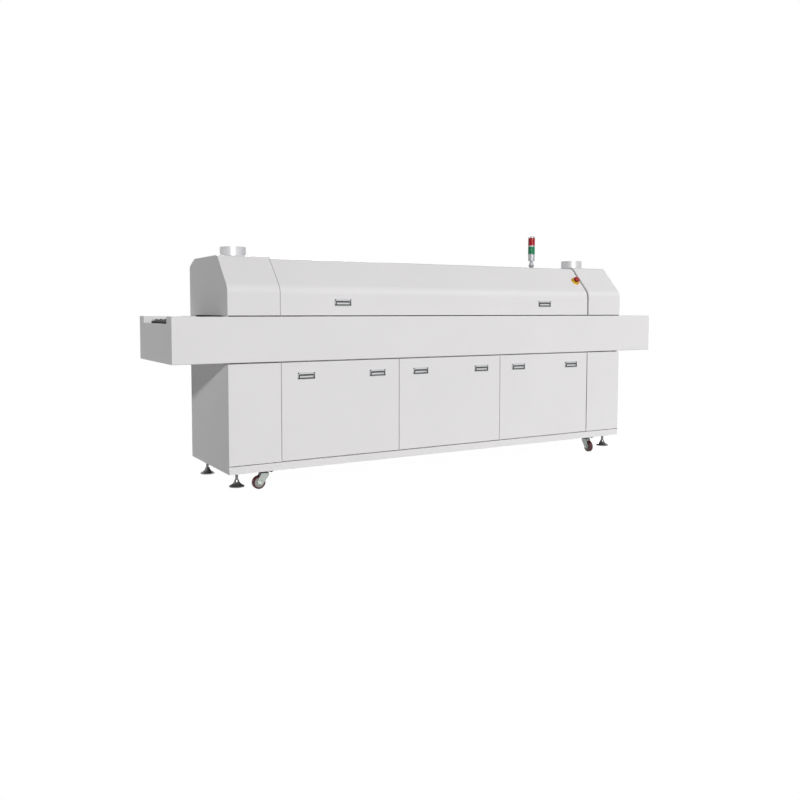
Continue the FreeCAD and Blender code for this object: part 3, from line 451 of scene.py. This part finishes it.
# screws in the corners of the handle plates
handleSetup = {
    "plate": (0.112, 0.042), "gauge": 0.002, "inset": (0.0075, 0.007),
    "screw": {"radius": 0.0042, "rise": 0.0016, "sides": 18,
              "profile": ((1, 0), (1, 0.45), (0.8, 0.82), (0.35, 1))},
}


def buildHandleTrim(bodyName, setup):
    nodeName = bodyName + "_handle_plates"
    low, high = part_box(nodeName)
    wide, tall = setup["plate"]
    insetX, insetZ = setup["inset"]
    face, z = high[1] - setup["gauge"], (low[2] + high[2]) / 2
    screws = bmesh.new()
    for x in (low[0] + wide / 2, high[0] - wide / 2):
        for sideX in (-1, 1):
            for sideZ in (-1, 1):
                spot = (x + sideX * (wide / 2 - insetX), face, z + sideZ * (tall / 2 - insetZ))
                addHead(screws, spot, (0, -1, 0), setup["screw"])
    keepPiece(nodeName + "Screws", screws, "screwSteel", bodyName)


for bodyName in ("hood", "door_left", "door_middle", "door_right"):
    buildHandleTrim(bodyName, handleSetup)
print("handles trimmed")


# rubber edging and a folded lip on the inner rims of the fixed hood ends; the edging's grey is partly
# painted shade, standing for the shadow of the step between hood end and lid
rimSetup = {
    "rim": 1.1466,  # distance of the rim from the middle of the machine
    "corners": ((-0.34, 0.971), (-0.34, 1.122), (-0.1741, 1.303),
                (0.2448, 1.303), (0.34, 1.262), (0.34, 0.971)),
    "radii": (0.08, 0.03, 0.02, 0.02), "arcSteps": 10,
    "edging": {"wide": 0.0036, "proud": 0.0008, "side": 0.7, "flat": (0.15, 0.85)},
    "lip": {"thick": 0.0015, "top": 0.002, "bottom": 0.007},  # depths below the sheet's outer face
}


def roundedPath(corners, radii, arcSteps):
    points = [Vector(corners[0])]
    for index, radius in enumerate(radii, start=1):
        corner = Vector(corners[index])
        before = (Vector(corners[index - 1]) - corner).normalized()
        after = (Vector(corners[index + 1]) - corner).normalized()
        half = before.angle(after) / 2
        centre = corner + (before + after).normalized() * radius / math.sin(half)
        first = (corner + before * radius / math.tan(half) - centre).normalized()
        last = (corner + after * radius / math.tan(half) - centre).normalized()
        for step in range(arcSteps + 1):
            points.append(centre + first.slerp(last, step / arcSteps) * radius)
    points.append(Vector(corners[-1]))
    return points


def sweepRim(sign, setup, profile):
    mesh = bmesh.new()
    path = roundedPath(setup["corners"], setup["radii"], setup["arcSteps"])
    loops = []
    for index, point in enumerate(path):
        ahead = (path[min(index + 1, len(path) - 1)] - path[max(index - 1, 0)]).normalized()
        out = Vector((-ahead.y, ahead.x))
        loop = []
        for rise, side in profile:
            loop.append(mesh.verts.new((sign * (setup["rim"] + side), *(point + out * rise))))
        loops.append(loop)
    joinLoops(mesh, loops)
    return mesh


def edgingProfile(edging):
    wide, proud = edging["wide"], edging["proud"]
    shoulder = proud * edging["side"]
    near, far = (wide * share for share in edging["flat"])
    return ((0, 0), (shoulder, 0), (proud, near), (proud, far), (shoulder, wide), (0, wide))


def lipProfile(lip):
    top, bottom, thick = -lip["top"], -lip["bottom"], lip["thick"]
    return ((bottom, 0), (top, 0), (top, thick), (bottom, thick))


for end, sign in (("Left", -1), ("Right", 1)):
    edging = sweepRim(sign, rimSetup, edgingProfile(rimSetup["edging"]))
    keepPiece("hoodEdging" + end, edging, "edgeRubber", "frame", smooth=False)
    lip = sweepRim(sign, rimSetup, lipProfile(rimSetup["lip"]))
    keepPiece("hoodLip" + end, lip, "bodyPaint", "frame", smooth=False)

# seals and fillers that close the slot between hood and beam
sealSetup = {
    "level": 0.968, "halfTall": 0.0031,
    "end": {"from": 1.1475, "to": 1.4445, "wall": 0.3345, "halfWide": 0.0024},
    "filler": {"out": 1.4464, "from": 0.245, "to": 0.3375, "halfWide": 0.0015},
    "lid": {"half": 1.141, "wall": 0.331, "halfWide": 0.001},
}


def buildSeals(setup):
    z, tall = setup["level"], setup["halfTall"]
    end, filler, lid = setup["end"], setup["filler"], setup["lid"]
    ends, fillers, front = bmesh.new(), bmesh.new(), bmesh.new()
    for sign in (-1, 1):
        for side in (-1, 1):
            y = side * end["wall"]
            addStrip(ends, (sign * end["from"], y, z), (sign * end["to"], y, z), end["halfWide"], tall)
            x, near, far = sign * filler["out"], side * filler["from"], side * filler["to"]
            addStrip(fillers, (x, near, z), (x, far, z), filler["halfWide"], tall)
    addStrip(front, (-lid["half"], -lid["wall"], z), (lid["half"], -lid["wall"], z), lid["halfWide"], tall)
    keepPiece("hoodEndSeals", ends, "sealRubber", "frame")
    keepPiece("hoodEndFillers", fillers, "bodyPaint", "frame")
    keepPiece("lidSeal", front, "sealRubber", "hood")


buildSeals(sealSetup)
print("edging and seals in place")

# cross rods of the mesh belt, with a link plate on each end
beltSetup = {
    "halfLong": 1.70, "top": 0.943, "bottom": 0.752, "turn": 0.03, "pitch": 0.0254,
    "rod": {"half": 0.1585, "radius": 0.0022, "sides": 8, "lift": 0.0008},
    "link": {"from": 0.1515, "wide": 0.006, "radius": 0.0062, "sides": 12},
}


# the spot at a distance along the belt's loop, clockwise from its top left, and the way outward there
def beltSpot(way, setup):
    turn, long = setup["turn"], 2 * setup["halfLong"]
    tall = setup["top"] - setup["bottom"] - 2 * turn
    corner = math.pi / 2 * turn
    hubs = ((1, 1), (1, -1), (-1, -1), (-1, 1))
    level, middle = tall / 2, (setup["top"] + setup["bottom"]) / 2
    angle = math.pi / 2
    for (hubX, hubZ), run in zip(hubs, (long, tall, long, tall)):
        out = Vector((math.cos(angle), 0, math.sin(angle)))
        ahead = Vector((math.sin(angle), 0, -math.cos(angle)))
        hub = Vector((hubX * setup["halfLong"], 0, middle + hubZ * level))
        if way < run:
            return hub - ahead * (run - way) + out * turn, out
        way -= run
        if way < corner:
            swing = angle - way / turn
            out = Vector((math.cos(swing), 0, math.sin(swing)))
            return hub + out * turn, out
        way -= corner
        angle -= math.pi / 2
    return beltSpot(0.0, setup)


def addBar(mesh, spot, first, last, look):
    loops = []
    for y in (first, last):
        loop = []
        for angle in turns(look["sides"]):
            x, z = look["radius"] * math.cos(angle), look["radius"] * math.sin(angle)
            loop.append(mesh.verts.new((spot.x + x, y, spot.z + z)))
        loops.append(loop)
    joinLoops(mesh, loops)


def buildBeltRods(setup):
    mesh = bmesh.new()
    rod, link = setup["rod"], setup["link"]
    tall = setup["top"] - setup["bottom"] - 2 * setup["turn"]
    around = 4 * setup["halfLong"] + 2 * tall + 2 * math.pi * setup["turn"]
    count = round(around / setup["pitch"])
    for index in range(count):
        spot, out = beltSpot(around * index / count, setup)
        addBar(mesh, spot + out * rod["lift"], -rod["half"], rod["half"], rod)
        for sign in (-1, 1):
            first, last = sorted((sign * link["from"], sign * (link["from"] + link["wide"])))
            addBar(mesh, spot, first, last, link)
    keepPiece("beltRods", mesh, "beltLink", "frame", smooth=False)


buildBeltRods(beltSetup)
print("belt rods in place")

# screws of the rear panels and of the lid hinges
rearScrewSetup = {
    "panel": {"pitch": 0.76333, "reach": 0.3597, "back": 0.34, "levels": (0.176, 0.4325, 0.689)},
    "hinge": {"spots": (-0.9, 0.0, 0.9), "reach": 0.028, "back": 0.343, "levels": (0.935, 0.955)},
    "screw": {"radius": 0.0045, "rise": 0.0018, "sides": 18,
              "profile": ((1, 0), (1, 0.4), (0.82, 0.8), (0.35, 1))},
}


def buildRearScrews(setup):
    mesh = bmesh.new()
    panel, hinge = setup["panel"], setup["hinge"]
    for index in (-1, 0, 1):
        for side in (-1, 1):
            for z in panel["levels"]:
                x = index * panel["pitch"] + side * panel["reach"]
                addHead(mesh, (x, panel["back"], z), (0, 1, 0), setup["screw"])
    for spot in hinge["spots"]:
        for side in (-1, 1):
            for z in hinge["levels"]:
                addHead(mesh, (spot + side * hinge["reach"], hinge["back"], z), (0, 1, 0), setup["screw"])
    keepPiece("rearScrews", mesh, "screwSteel", "frame")


buildRearScrews(rearScrewSetup)

# bolts under the caster plates and lock nuts on the foot studs
underSetup = {
    "caster": (1.22, 0.26), "boltReach": (0.034, 0.023), "boltLevel": 0.098,
    "bolt": {"radius": 0.0075, "rise": 0.005, "sides": 6, "profile": ((1, 0), (1, 0.85), (0.86, 1))},
    "foot": (1.381, 0.26),
    "nut": {"flat": 0.0120, "bore": 0.0083, "top": 0.110, "deep": 0.008, "steps": 36},
}


def addNut(mesh, x, y, nut):
    outer, inner = [], []
    for angle in turns(nut["steps"]):
        bend = (angle + math.pi / 6) % (math.pi / 3) - math.pi / 6  # from the middle of the nearest flat
        reach = nut["flat"] / math.cos(bend)
        outer.append((reach * math.cos(angle), reach * math.sin(angle)))
        inner.append((nut["bore"] * math.cos(angle), nut["bore"] * math.sin(angle)))
    low, high = nut["top"] - nut["deep"], nut["top"]
    rings = ((inner, high), (outer, high), (outer, low), (inner, low))
    loops = [[mesh.verts.new((x + dx, y + dy, z)) for dx, dy in ring] for ring, z in rings]
    joinLoops(mesh, loops + [loops[0]], closed=True)


def buildUnderside(setup):
    bolts, nuts = bmesh.new(), bmesh.new()
    (casterX, casterY), (reachX, reachY), (footX, footY) = setup["caster"], setup["boltReach"], setup["foot"]
    for sideX in (-1, 1):
        for sideY in (-1, 1):
            for dx in (-reachX, reachX):
                for dy in (-reachY, reachY):
                    spot = (sideX * casterX + dx, sideY * casterY + dy, setup["boltLevel"])
                    addHead(bolts, spot, (0, 0, -1), setup["bolt"])
            addNut(nuts, sideX * footX, sideY * footY, setup["nut"])
    keepPiece("casterBolts", bolts, "casterBlack", "frame", smooth=False)
    keepPiece("footNuts", nuts, "casterZinc", "frame", smooth=False)


buildUnderside(underSetup)

# bright nuts on the ends of the caster axles
axleSetup = {
    "start": 0.0235,  # from the middle of the wheel
    "nut": {"radius": 0.0068, "rise": 0.0045, "sides": 6,
            "profile": ((1, 0), (1, 0.8), (0.84, 1), (0.5, 1.0))},
}


def buildAxleNuts(corner, setup):
    joint = jointOf("wheel_" + corner)
    centre, axle = Vector(joint["pos_m"]), Vector(joint["axis"])
    mesh = bmesh.new()
    for side in (-1, 1):
        addHead(mesh, centre + axle * side * setup["start"], axle * side, setup["nut"])
    keepPiece("axleNuts" + corner.upper(), mesh, "nutZinc", "caster_" + corner, smooth=False)


for corner in ("fl", "fr", "rl", "rr"):
    buildAxleNuts(corner, axleSetup)
print("fasteners in place")


# how much of a floor or backdrop shows as plain white, by the kind of ray that meets it
def seenBy(nodes, links, first, *others):
    ray = nodes.new("ShaderNodeLightPath")
    seen = ray.outputs[first]
    for other in others:
        seen = reckon(nodes, links, "MAXIMUM", seen, ray.outputs[other])
    return seen


# pale floor that keeps a faint shadow
floorSetup = {"half": 14.0, "colour": (0.36, 0.36, 0.36), "rough": 0.9, "whiteShare": 0.93, "white": 1.06}


def buildFloor(setup):
    mesh = bmesh.new()
    bmesh.ops.create_grid(mesh, x_segments=1, y_segments=1, size=setup["half"])
    data = bpy.data.meshes.new("paleFloor")
    mesh.to_mesh(data)
    mesh.free()
    floor = addObject("paleFloor", data)
    finish, nodes, links, shader = startFinish("paleFloor", setup["colour"], 0.0, setup["rough"])
    seen = seenBy(nodes, links, "Is Camera Ray", "Is Glossy Ray")
    share = reckon(nodes, links, "MULTIPLY", seen, setup["whiteShare"])
    white = nodes.new("ShaderNodeEmission")
    white.inputs["Strength"].default_value = setup["white"]
    blend = nodes.new("ShaderNodeMixShader")
    links.new(share, blend.inputs["Fac"])
    links.new(shader.outputs["BSDF"], blend.inputs[1])
    links.new(white.outputs["Emission"], blend.inputs[2])
    links.new(blend.outputs["Shader"], nodes["Material Output"].inputs["Surface"])
    data.materials.append(finish)


# backdrop that looks white and lights the machine only a little
worldSetup = {"fill": 0.05, "white": 1.0}


def buildWorld(setup):
    world = bpy.data.worlds.new("whiteRoom")
    world.use_nodes = True
    nodes, links = world.node_tree.nodes, world.node_tree.links
    fill, bright = nodes["Background"], nodes.new("ShaderNodeBackground")
    for background, strength in ((fill, setup["fill"]), (bright, setup["white"])):
        background.inputs["Color"].default_value = (1, 1, 1, 1)
        background.inputs["Strength"].default_value = strength
    seen = seenBy(nodes, links, "Is Camera Ray", "Is Transmission Ray", "Is Glossy Ray")
    blend = nodes.new("ShaderNodeMixShader")
    links.new(seen, blend.inputs["Fac"])
    links.new(fill.outputs["Background"], blend.inputs[1])
    links.new(bright.outputs["Background"], blend.inputs[2])
    links.new(blend.outputs["Shader"], nodes["World Output"].inputs["Surface"])
    bpy.context.scene.world = world


# a low key from the front left, a weaker one for the back, and a strip for the glint on the hood's bend
sunSetup = {
    "keySun": {"towards": (-0.30, -1.0, 0.38), "spread": 5.0, "strength": 2.57},
    "backSun": {"towards": (0.45, 1.0, 0.42), "spread": 12.0, "strength": 1.7},
}
stripSetup = {"spot": (4.0, -5.7, 4.9), "aim": (0.0, -0.33, 1.1), "size": (4.8, 0.5), "watts": 110.0}


def buildSun(name, setup):
    data = bpy.data.lights.new(name, "SUN")
    data.energy = setup["strength"]
    data.angle = math.radians(setup["spread"])
    sun = addObject(name, data)
    sun.rotation_euler = Vector(setup["towards"]).to_track_quat("Z", "Y").to_euler()


def buildStrip(name, setup):
    data = bpy.data.lights.new(name, "AREA")
    data.shape = "RECTANGLE"
    data.size, data.size_y = setup["size"]
    data.energy = setup["watts"]
    lamp = addObject(name, data)
    lamp.location = setup["spot"]
    aim = Vector(setup["aim"]) - Vector(setup["spot"])
    lamp.rotation_euler = aim.to_track_quat("-Z", "Y").to_euler()


buildFloor(floorSetup)
buildWorld(worldSetup)
for name, setup in sunSetup.items():
    buildSun(name, setup)
buildStrip("kneeStrip", stripSetup)
bpy.context.scene.view_settings.view_transform = "Standard"
print("floor and lamps set")
